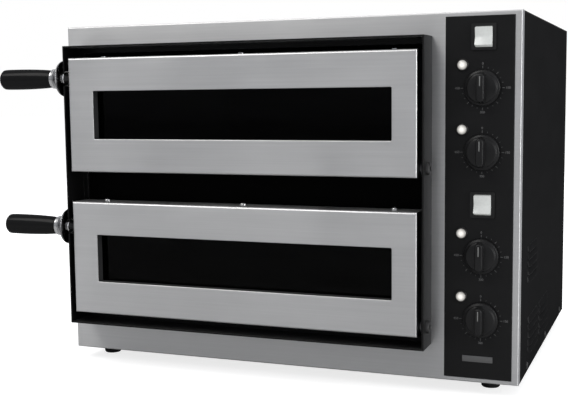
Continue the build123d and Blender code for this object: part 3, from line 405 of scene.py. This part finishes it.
# lit copy of the black enamel: lighter than the casing, as painted light in the shaded window reveal
painted("window_frame_enamel_painted_light", base=(0.034, 0.034, 0.0345), rough=0.42,
        sheen=0.012, graze=0.06, peel=0.05, edge_wear_highlight_grey=0.03, edge_wear_highlight_strength=0.3)
chamber_steel()
refractory_stone()
element_sheath()
insulation_fibre()
door_glass()
lit("lit_lens", body=(0.16, 0.155, 0.145), glow=(1.0, 0.97, 0.92), power=0.95, rim=0.1,
    cell_scale=900.0, lamps=True)
lit("lit_rocker", body=(0.42, 0.43, 0.42), glow=(0.97, 1.0, 0.97), power=0.27, rim=0.75,
    cell_scale=900.0 * 0.4)
plain("zinc_plate", base=(0.50, 0.51, 0.52), rough=0.34, metal=1.0, vary=0.12, scale=300.0)
plain("black_screws", base=grey(0.03), rough=0.38, metal=0.3, spec=0.35, vary=0.3, scale=400.0)
plain("bright_screws", base=grey(0.62), rough=0.22, metal=1.0, vary=0.08, scale=500.0)
plain("spring_steel", base=(0.30, 0.30, 0.31), rough=0.35, metal=1.0, vary=0.2, scale=300.0)
plain("white_ceramic", base=(0.80, 0.79, 0.75), rough=0.25, spec=0.5, vary=0.05)
plain("foot_rubber", base=grey(0.018), rough=0.72, spec=0.25, vary=0.3,
      bump=0.25, bump_scale=1600.0)
plain("cord_rubber", base=grey(0.014), rough=0.55, spec=0.25, vary=0.3,
      bump=0.12, bump_scale=2200.0)
plain("seal_silicone", base=grey(0.02), rough=0.6, spec=0.3, vary=0.2)
plain("black_plastic", base=grey(0.012), rough=0.42, spec=0.25, vary=0.25,
      bump=0.18, bump_scale=1900.0)
plain("black_knob", base=(0.011, 0.011, 0.0113), rough=0.33, spec=0.22, vary=0.25,
      bump=0.10, bump_scale=1900.0)
painted("black_handle_plastic", base=(0.0075, 0.0075, 0.0076), rough=0.18, sheen=0.006,
        graze=0.13, peel=0.01, edge_wear_highlight_grey=0.012, edge_wear_highlight_strength=0.3, round_edge=0.0004)
plain("hinge_nickel", base=grey(0.13), rough=0.42, metal=1.0, vary=0.15, scale=300.0)
plain("chrome_trim", base=grey(0.80), rough=0.09, metal=1.0, vary=0.04, scale=200.0, bump=0.01)
# darkened copies of chrome_trim for the handle's flange and ferrule: painted dark reflection of dark surroundings,
# highlights still bright
plain("bell_chrome_painted_dark_reflection", base=(0.25, 0.25, 0.254), rough=0.10, metal=1.0, vary=0.04, scale=120.0,
      bump=0.004)
plain("ferrule_chrome_painted_dark_reflection", base=grey(0.50), rough=0.10, metal=1.0, vary=0.04, scale=120.0,
      bump=0.004)
plain("scale_print", base=grey(0.16), rough=0.55, spec=0.2, vary=0.15, scale=500.0)
plain("pointer_white", base=(0.22, 0.22, 0.215), rough=0.5, spec=0.3, vary=0.08, scale=500.0)
plain("badge_metal", base=grey(0.16), rough=0.32, metal=0.9, vary=0.05, scale=40.0, bump=0.01)
handle_collar_painted_highlight()
power_plug_mix()


# ------------------------------------------------------------------ CAD pieces
# Nodes that look different from the rest of their slot, by full name and by name ending.
OWN_LOOKS = {"mouth_plate": "recess_black_painted_shade", "power_plug": "power_plug_mix"}
OWN_LOOKS_BY_ENDING = {
    "_handle_collar": "handle_collar_painted_highlight",
    "_door_glass_frame": "window_frame_enamel_painted_light",
    "_door_hinge_screws": "hinge_nickel",
}


def dress_cad():
    for name, piece in NODES.items():
        look = OWN_LOOKS.get(name, SLOTS[name])
        for ending, own_look in OWN_LOOKS_BY_ENDING.items():
            if name.endswith(ending):
                look = own_look
        piece.data.materials.clear()
        piece.data.materials.append(MATERIALS[look])


def soften(piece):
    """Small rounded edge on a CAD piece, by modifiers only."""
    weld = piece.modifiers.new("weld", "WELD")
    weld.merge_threshold = 0.000005
    bevel = piece.modifiers.new("bevel", "BEVEL")
    bevel.width = 0.35 * MM
    bevel.segments = 2
    bevel.limit_method = "ANGLE"
    bevel.angle_limit = math.radians(35.0)
    bevel.use_clamp_overlap = True
    bevel.harden_normals = False
    normals = piece.modifiers.new("normals", "WEIGHTED_NORMAL")
    normals.keep_sharp = False
    normals.weight = 80


dress_cad()
for softened in ("baking_stones", "rocker_housings", "terminal_block"):
    soften(NODES[softened])


# ------------------------------------------------------------------ mesh helpers
def add_piece(name, mesh, look, body, smooth=True, sharp=38.0, replaced=None):
    """Turn a bmesh into a piece that rides on a body, in place of a CAD node if one is given.

    Edges that turn more than sharp degrees stay sharp.
    """
    bmesh.ops.remove_doubles(mesh, verts=mesh.verts, dist=1e-6)
    bmesh.ops.recalc_face_normals(mesh, faces=mesh.faces)
    for face in mesh.faces:
        face.smooth = smooth
    for edge in mesh.edges:
        if len(edge.link_faces) == 2 and edge.calc_face_angle(0.0) > math.radians(sharp):
            edge.smooth = False
    data = bpy.data.meshes.new(name)
    mesh.to_mesh(data)
    mesh.free()
    piece = bpy.data.objects.new(name, data)
    bpy.context.scene.collection.objects.link(piece)
    piece.data.materials.append(MATERIALS[look])
    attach(piece, body)
    if replaced:
        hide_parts(replaced)


def skin(mesh, loops, wrap=False):
    """Join equal-length loops with quads; cap both ends, or wrap the last round to the first."""
    made = [[mesh.verts.new(position) for position in loop] for loop in loops]
    count = len(made[0])
    following = made[1:] + made[:1] if wrap else made[1:]
    for near, far in zip(made, following):
        for i in range(count):
            j = (i + 1) % count
            mesh.faces.new((near[i], near[j], far[j], far[i]))
    if not wrap:
        mesh.faces.new(list(reversed(made[0])))
        mesh.faces.new(made[-1])


def slab(mesh, low, high, bevel, segments):
    """Bevelled box between two local corners."""
    start, end = point(*low), point(*high)
    verts = bmesh.ops.create_cube(mesh, size=1.0)["verts"]
    for vert in verts:
        vert.co = Vector([start[i] + (vert.co[i] + 0.5) * (end[i] - start[i]) for i in range(3)])
    edges = list({edge for vert in verts for edge in vert.link_edges})
    bmesh.ops.bevel(mesh, geom=edges, offset=bevel * MM, segments=segments, affect="EDGES",
                    profile=0.5)


# ------------------------------------------------------------------ knobs
# Skirt and cap: radius, height off the panel.
KNOB_PROFILE = (
    (18.6, 1.4), (19.5, 1.5), (19.9, 2.0), (20.0, 2.6), (20.0, 3.6), (19.7, 4.3), (19.0, 4.9),
    (18.0, 5.3), (17.2, 5.6), (16.7, 6.1), (16.4, 6.9), (15.9, 7.4), (14.6, 7.9), (11.0, 8.6),
    (6.0, 9.0), (2.0, 9.1),
)
KNOB_SEGMENTS = 144
FLUTES = 36
FLUTE_DEPTH = 0.45
FLUTED_FROM = 19.4              # smallest radius that is fluted
# Finger bar, stadium sections: height off the panel, half length, half width.
BAR_SECTIONS = (
    (6.6, 16.6, 6.4), (8.2, 16.3, 5.5), (10.0, 16.1, 5.1), (13.0, 15.9, 4.8), (15.6, 15.7, 4.5),
    (16.8, 15.4, 4.2), (17.6, 14.8, 3.6), (18.0, 13.9, 2.7), (18.1, 12.6, 1.4),
)
BAR_END_STEPS = 16
POINTER_HALF_WIDTH = 0.55
POINTER_HEIGHTS = (18.35, 17.9)     # off the panel, outer then inner
POINTER_REACH = (2.0, 12.6)         # above the knob's centre


def knob_cap(mesh, base):
    loops = []
    for profile_radius, height in KNOB_PROFILE:
        loop = []
        for i in range(KNOB_SEGMENTS):
            angle = 2 * math.pi * i / KNOB_SEGMENTS
            radius = profile_radius
            if radius >= FLUTED_FROM:
                radius -= FLUTE_DEPTH * 0.5 * (1 - math.cos(FLUTES * angle))
            across = Vector((math.cos(angle), 0, math.sin(angle)))
            loop.append(base + across * radius * MM + OUT * height * MM)
        loops.append(loop)
    skin(mesh, loops)


def knob_bar(mesh, base):
    loops = []
    for height, half_length, half_width in BAR_SECTIONS:
        loop = []
        for end, side in enumerate((1, -1)):
            for i in range(BAR_END_STEPS + 1):
                angle = math.pi * i / BAR_END_STEPS + math.pi * end
                x = math.cos(angle) * half_width
                z = math.sin(angle) * half_width + (half_length - half_width) * side
                loop.append(base + Vector((x * MM, 0, z * MM)) + OUT * height * MM)
        loops.append(loop)
    skin(mesh, loops)


def add_knob(prefix):
    node, body = prefix + "_heat_knob", prefix + "_knob"
    middle = centre(node)
    base = point(middle.x, PANEL_FRONT, middle.z)
    mesh = bmesh.new()
    knob_cap(mesh, base)
    knob_bar(mesh, base)
    add_piece(node + "_moulding", mesh, "black_knob", body, replaced=node)

    # pointer inlaid in the upper half of the bar
    outer, inner = POINTER_HEIGHTS
    start, end = POINTER_REACH
    mesh = bmesh.new()
    slab(mesh, (middle.x - POINTER_HALF_WIDTH, PANEL_FRONT - outer, middle.z + start),
         (middle.x + POINTER_HALF_WIDTH, PANEL_FRONT - inner, middle.z + end),
         bevel=0.12, segments=1)
    add_piece(prefix + "_knob_pointer", mesh, "pointer_white", body)


# ------------------------------------------------------------------ printed dials
TICK_COUNT = 19
TICK_PITCH = 15.0               # degrees
MAJOR_EVERY = 3
MAJOR_TICK = (21.2, 24.0, 0.42)     # inner radius, outer radius, width
MINOR_TICK = (21.6, 23.2, 0.26)
TICK_FACES_Y = (PANEL_FRONT - 0.06, PANEL_FRONT + 0.02)
# Degrees clockwise from the top, text, radius of its centre.
DIAL_NUMBERS = ((0, "0", 26.4), (90, "150", 27.6), (180, "300", 26.4), (270, "450", 27.6))
NUMBER_SIZE = 3.6
NUMBER_DEPTH = 0.03


def add_ticks(prefix, middle):
    mesh = bmesh.new()
    for i in range(TICK_COUNT):
        inner, outer, width = MINOR_TICK if i % MAJOR_EVERY else MAJOR_TICK
        angle = math.radians(i * TICK_PITCH)
        along = Vector((math.sin(angle), math.cos(angle)))
        half = Vector((math.cos(angle), -math.sin(angle))) * width / 2
        corners = (along * inner - half, along * outer - half,
                   along * outer + half, along * inner + half)
        skin(mesh, [[point(middle.x + corner.x, y, middle.z + corner.y) for corner in corners]
                    for y in TICK_FACES_Y])
    add_piece(prefix + "_dial_ticks", mesh, "scale_print", "casing",
              smooth=False)


def text_mesh(text):
    curve = bpy.data.curves.new("dial_text", "FONT")
    curve.body = text
    curve.size = NUMBER_SIZE * MM
    curve.align_x, curve.align_y = "CENTER", "CENTER"
    curve.extrude = NUMBER_DEPTH * MM
    holder = bpy.data.objects.new("dial_text", curve)
    bpy.context.scene.collection.objects.link(holder)
    bpy.context.view_layer.update()
    evaluated = holder.evaluated_get(bpy.context.evaluated_depsgraph_get())
    data = bpy.data.meshes.new_from_object(evaluated)
    bpy.data.objects.remove(holder)
    return data


def add_dial(prefix):
    """Ticks and numbers round one knob, zero at the top, running clockwise."""
    middle = centre(prefix + "_heat_knob")
    add_ticks(prefix, middle)
    for degrees, text, radius in DIAL_NUMBERS:
        angle = math.radians(degrees)
        mesh = bmesh.new()
        mesh.from_mesh(text_mesh(text))
        position = point(middle.x + math.sin(angle) * radius, PANEL_FRONT - NUMBER_DEPTH,
                         middle.z + math.cos(angle) * radius)
        mesh.transform(Matrix.Translation(position) @ Matrix.Rotation(math.pi / 2, 4, "X"))
        add_piece(f"{prefix}_dial_{text}", mesh, "scale_print", "casing",
                  smooth=False)


# ------------------------------------------------------------------ rockers
ROCKER_TILT = math.radians(-7.0)
ROCKER_HALF_HEIGHT = 9.75
ROCKER_BACK_RADIUS = 11.25
ROCKER_BACK_HALF_ANGLE = 118
ROCKER_STEPS = 16
ROCKER_ROUNDING = 0.9           # how far the outline shrinks at each end


def rocker_outline():
    """(y, z) about the pivot: concave front from top to bottom, then the round back."""
    outline = []
    for i in range(ROCKER_STEPS + 1):
        share = -1 + 2 * i / ROCKER_STEPS
        outline.append((-3.5 - 2.15 * abs(share) ** 1.25, -share * ROCKER_HALF_HEIGHT))
    for i in range(1, ROCKER_STEPS):
        sweep = 2 * ROCKER_BACK_HALF_ANGLE * i / ROCKER_STEPS
        angle = math.radians(-ROCKER_BACK_HALF_ANGLE + sweep)
        outline.append((math.cos(angle) * ROCKER_BACK_RADIUS,
                        math.sin(angle) * ROCKER_BACK_RADIUS))
    return outline


def add_rocker(prefix):
    """Concave translucent rocker with rounded ends, tilted as it lies at rest."""
    node = prefix + "_deck_rocker"
    joint = next(j for j in frame["joints"] if j["name"] == node + "_tilt")
    pivot = local(Vector(joint["pos_m"]))
    low, high = local_box(node)
    half = (high.x - low.x) / 2
    cos, sin = math.cos(ROCKER_TILT), math.sin(ROCKER_TILT)
    # place across the rocker, fullness of the outline there
    stations = ((-half, 0.0), (-half + 0.25, 0.55), (-half + 0.9, 1.0),
                (half - 0.9, 1.0), (half - 0.25, 0.55), (half, 0.0))
    loops = []
    for offset, fullness in stations:
        loop = []
        for y, z in rocker_outline():
            radius = math.hypot(y, z)
            shrink = (radius - ROCKER_ROUNDING * (1 - fullness)) / radius
            y, z = y * shrink, z * shrink
            loop.append(point((low.x + high.x) / 2 + offset,
                              pivot.y + y * cos - z * sin, pivot.z + y * sin + z * cos))
        loops.append(loop)
    mesh = bmesh.new()
    skin(mesh, loops)
    add_piece(node + "_moulding", mesh, "lit_rocker", node, sharp=50,
              replaced=node)


# ------------------------------------------------------------------ turned handles
HANDLE_BORE = 4.08              # radius
HANDLE_SEGMENTS = 96


def smooth_profile(points, steps):
    """Catmull-Rom curve through (x, radius) pairs."""
    curve = []
    padded = [points[0]] + points + [points[-1]]
    for a, b, c, d in zip(padded, padded[1:], padded[2:], padded[3:]):
        for k in range(steps):
            t = k / steps
            curve.append(tuple(
                0.5 * ((2 * b[i]) + (c[i] - a[i]) * t
                       + (2 * a[i] - 5 * b[i] + 4 * c[i] - d[i]) * t * t
                       + (3 * b[i] - a[i] - 3 * c[i] + d[i]) * t ** 3) for i in (0, 1)))
    curve.append(points[-1])
    return curve


# Each profile is a closed round of (x, radius) between the part's left and right ends.
def ferrule_profile(left, right):
    waist = [(right - 0.95, 12.6), (right - 1.7, 12.2), (right - 2.7, 11.92),
             (left + 1.5, 11.95), (left + 0.8, 12.1)]
    return [(right, HANDLE_BORE), (right, 12.15), (right - 0.15, 12.45), (right - 0.5, 12.66),
            *smooth_profile(waist, steps=8),
            (left + 0.45, 11.98), (left + 0.15, 11.75), (left, 11.4), (left, HANDLE_BORE)]


def flange_profile(left, right):
    bell = [(right - 1.55, 21.75), (right - 2.03, 20.76), (right - 2.76, 19.57),
            (right - 3.58, 18.45), (right - 5.5, 16.43), (right - 7.72, 14.76),
            (left + 1.3, 13.48), (left + 0.3, 13.1)]
    return [(right, HANDLE_BORE), (right, 21.2), (right - 0.12, 21.6), (right - 0.42, 21.93),
            (right - 0.9, 22.0), (right - 1.25, 21.97), *smooth_profile(bell, steps=6),
            (left, 12.85), (left, HANDLE_BORE)]


def grip_profile(left, right):
    body = [(right - 0.4, 10.35), (right - 10, 11.4), (right - 28, 12.3), (right - 48, 12.68),
            (left + 6.9, 12.5), (left + 3.4, 11.5), (left + 1.3, 9.4), (left + 0.35, 6.4),
            (left + 0.02, 2.6)]
    bore_end = left + 17.4
    return [(right, HANDLE_BORE), (right, 9.95), *smooth_profile(body, steps=10),
            (left, 0.02), (bore_end, 0.02), (bore_end, HANDLE_BORE)]


# Part, profile, material, slot.
HANDLE_PARTS = (
    ("ferrule", ferrule_profile, "ferrule_chrome_painted_dark_reflection", "chrome_trim"),
    ("flange", flange_profile, "bell_chrome_painted_dark_reflection", "chrome_trim"),
    ("grip", grip_profile, "black_handle_plastic", "black_handle_plastic"),
)


def add_handle(door):
    for part, profile, look, slot in HANDLE_PARTS:
        node = f"{door}_handle_{part}"
        low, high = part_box(node)
        axis = (low + high) / 2
        loops = []
        for x, radius in profile(local(low).x, local(high).x):
            loop = []
            for i in range(HANDLE_SEGMENTS):
                angle = 2 * math.pi * i / HANDLE_SEGMENTS
                loop.append(Vector((CORNER.x + x * MM,
                                    axis.y + math.cos(angle) * radius * MM,
                                    axis.z + math.sin(angle) * radius * MM)))
            loops.append(loop)
        mesh = bmesh.new()
        skin(mesh, loops, wrap=True)
        add_piece(node + "_turned", mesh, look, f"{door}_door", sharp=48, replaced=node)


# ------------------------------------------------------------------ louvre hoods
HOOD_RISE = 2.9                 # off the sheet
HOOD_TOP = 4.3                  # above the slot's centre
HOOD_DROP = 6.2                 # from top edge to lip
HOOD_OVERLAP = 1.5              # past each end of the slot
HOOD_STEPS_ALONG, HOOD_STEPS_DOWN = 28, 8
HOOD_PITCH = 9.0
# Groups on the right side: centre y, centre z, slot length.
SIDE_GROUPS = ((98.0, 126.0, 72.0), (107.0, 41.0, 74.0), (203.0, 41.0, 74.0))
SIDE_ROWS = 5
REAR_GROUPS_X = (240.0, 360.0)
REAR_CENTRE_Z = 330.0
REAR_ROWS = 6
REAR_HALF_LENGTH = 45.0


def hood(mesh, place, half_length):
    """One pressed hood. place(along, up, off) gives a point by the slot and off the sheet."""
    along_steps, down_steps = HOOD_STEPS_ALONG, HOOD_STEPS_DOWN
    outer, inner = [], []
    for i in range(along_steps + 1):
        share = -1 + 2 * i / along_steps
        share = math.copysign(abs(share) ** 0.8, share)
        taper = math.sqrt(max(0.0, 1 - abs(share) ** 7))
        along = share * (half_length + HOOD_OVERLAP)
        outer.append([])
        inner.append([])
        for j in range(down_steps + 1):
            down = j / down_steps
            up = HOOD_TOP - HOOD_DROP * down
            bulge = HOOD_RISE * math.sin(down * math.pi * 0.5) ** 0.9 * taper
            outer[-1].append(mesh.verts.new(place(along, up, bulge + 0.05)))
            inner[-1].append(mesh.verts.new(place(along, up - 0.15, max(0.0, bulge - 0.8))))
    for grid, step in ((outer, 1), (inner, -1)):
        for i in range(along_steps):
            for j in range(down_steps):
                corners = (grid[i][j], grid[i + 1][j], grid[i + 1][j + 1], grid[i][j + 1])
                mesh.faces.new(corners[::step])

    # wall between the borders of the two sheets
    border = ([(i, 0) for i in range(along_steps + 1)]
              + [(along_steps, j) for j in range(1, down_steps + 1)]
              + [(i, down_steps) for i in range(along_steps - 1, -1, -1)]
              + [(0, j) for j in range(down_steps - 1, 0, -1)])
    for (i, j), (k, m) in zip(border, border[1:] + border[:1]):
        mesh.faces.new((outer[i][j], inner[i][j], inner[k][m], outer[k][m]))


def add_hoods(name, mesh):
    add_piece(name, mesh, "black_casing_paint", "casing", sharp=60)


def add_side_hoods():
    sheet_x = local_box("right_side_panel")[1].x
    mesh = bmesh.new()
    for middle_y, middle_z, length in SIDE_GROUPS:
        for row in range(SIDE_ROWS):
            row_z = middle_z + (row - (SIDE_ROWS - 1) / 2) * HOOD_PITCH
            hood(mesh, lambda along, up, off: point(sheet_x + off, middle_y + along, row_z + up),
                 length / 2)
    add_hoods("right_side_louvre_hoods", mesh)


def add_rear_hoods():
    sheet_y = local_box("rear_panel")[1].y
    mesh = bmesh.new()
    for middle_x in REAR_GROUPS_X:
        for row in range(REAR_ROWS):
            row_z = REAR_CENTRE_Z + (row - (REAR_ROWS - 1) / 2) * HOOD_PITCH
            hood(mesh, lambda along, up, off: point(middle_x - along, sheet_y + off, row_z + up),
                 REAR_HALF_LENGTH)
    add_hoods("rear_louvre_hoods", mesh)


# ------------------------------------------------------------------ badge
BADGE_HALF_WIDTH = 17.0
BADGE_Z = (24.0, 31.0)
BADGE_THICKNESS = 0.7


def add_badge():
    """Blank badge low on the control panel."""
    middle_x = (PANEL_LO.x + PANEL_HI.x) / 2
    mesh = bmesh.new()
    slab(mesh, (middle_x - BADGE_HALF_WIDTH, PANEL_FRONT - BADGE_THICKNESS, BADGE_Z[0]),
         (middle_x + BADGE_HALF_WIDTH, PANEL_FRONT, BADGE_Z[1]), bevel=0.3, segments=2)
    add_piece("blank_badge", mesh, "badge_metal", "casing")


for knob in KNOBS:
    add_knob(knob)
for knob in KNOBS:
    add_dial(knob)
for deck in DECKS:
    add_rocker(deck)
for deck in DECKS:
    add_handle(deck)
add_side_hoods()
add_rear_hoods()
add_badge()


# ------------------------------------------------------------------ stage, light, camera
def set_world():
    """White to the camera, a dimmer cool light to everything else."""
    world = bpy.data.worlds.new("studio")
    bpy.context.scene.world = world
    tree = Tree(world, "OutputWorld")
    seen, ambient = [
        tree.node("Background", {"Color": colour, "Strength": strength}).outputs[0]
        for colour, strength in (((1, 1, 1), 1.0), ((0.93, 0.95, 1.0), 0.52))]
    tree.mixed_surface(tree.node("LightPath").outputs["Is Camera Ray"], ambient, seen)


def add_floor():
    data = bpy.data.meshes.new("studio_floor")
    reach = 14.0
    corners = [(-reach, -reach, 0), (reach, -reach, 0), (reach, reach, 0), (-reach, reach, 0)]
    data.from_pydata(corners, [], [(0, 1, 2, 3)])
    ground = bpy.data.objects.new("studio_floor", data)
    bpy.context.scene.collection.objects.link(ground)
    tree = material("studio_floor_pale")
    colour = tree.mix(tree.span(tree.noise(scale=2.0)), low=grey(0.54), high=grey(0.56))
    camera_ray = tree.node("LightPath").outputs["Is Camera Ray"]
    tree.principled(base=colour, rough=0.9, spec=0.0, emit=(1, 1, 1),
                    emit_power=tree.math("MULTIPLY", camera_ray, 0.78))
    data.materials.append(MATERIALS["studio_floor_pale"])
    ground.location.z = -0.0002     # just below the feet


# Name, size, watts, location, target, colour.
LIGHTS = (
    ("key_softbox", (2.2, 1.4), 38.0, (-1.3, -1.7, 2.5), (0, -0.1, 0.2), (1.0, 0.985, 0.96)),
    ("fill_softbox", (1.8, 1.8), 8.0, (2.2, -1.2, 1.2), (0, 0, 0.2), (0.96, 0.98, 1.0)),
    ("top_softbox", (2.4, 2.0), 20.0, (0.2, 0.4, 2.6), (0, 0, 0.2), (1, 1, 1)),
    ("back_softbox", (1.8, 1.2), 34.0, (-0.7, 2.5, 1.5), (0, 0.2, 0.2), (1, 1, 1)),
    ("edge_strip", (0.22, 1.2), 12.0, (2.0, -0.62, 0.5), (0.1, -0.25, 0.22), (1, 1, 1)),
)


def add_lights():
    for name, size, power, location, target, colour in LIGHTS:
        light = bpy.data.lights.new(name, "AREA")
        light.shape = "RECTANGLE"
        light.size, light.size_y = size
        light.energy = power
        light.color = colour
        lamp = bpy.data.objects.new(name, light)
        bpy.context.scene.collection.objects.link(lamp)
        lamp.location = location
        direction = Vector(target) - Vector(location)
        lamp.rotation_euler = direction.to_track_quat("-Z", "Y").to_euler()


CAMERA_AT = (731.53, -1119.14, 323.85)      # local
# Turned left from +Y, tipped down, rolled about the line of sight.
YAW, PITCH, ROLL = math.radians(21.436), math.radians(5.986), math.radians(-0.651)


def add_camera():
    forward = Vector((-math.sin(YAW) * math.cos(PITCH), math.cos(YAW) * math.cos(PITCH),
                      -math.sin(PITCH)))
    level_right = Vector((math.cos(YAW), math.sin(YAW), 0))
    level_up = level_right.cross(forward)
    right = level_right * math.cos(ROLL) + level_up * math.sin(ROLL)
    up = level_up * math.cos(ROLL) - level_right * math.sin(ROLL)
    lens = bpy.data.cameras.new("photo_view")
    lens.lens = 64.67
    lens.sensor_width = 36.0
    lens.clip_start, lens.clip_end = 0.05, 60.0
    camera = bpy.data.objects.new("photo_view", lens)
    bpy.context.scene.collection.objects.link(camera)
    pose = Matrix((right, up, -forward)).transposed().to_4x4()
    pose.translation = point(*CAMERA_AT)
    camera.matrix_world = pose
    bpy.context.scene.camera = camera


set_world()
add_floor()
add_lights()
add_camera()
bpy.context.scene.view_settings.view_transform = "Standard"
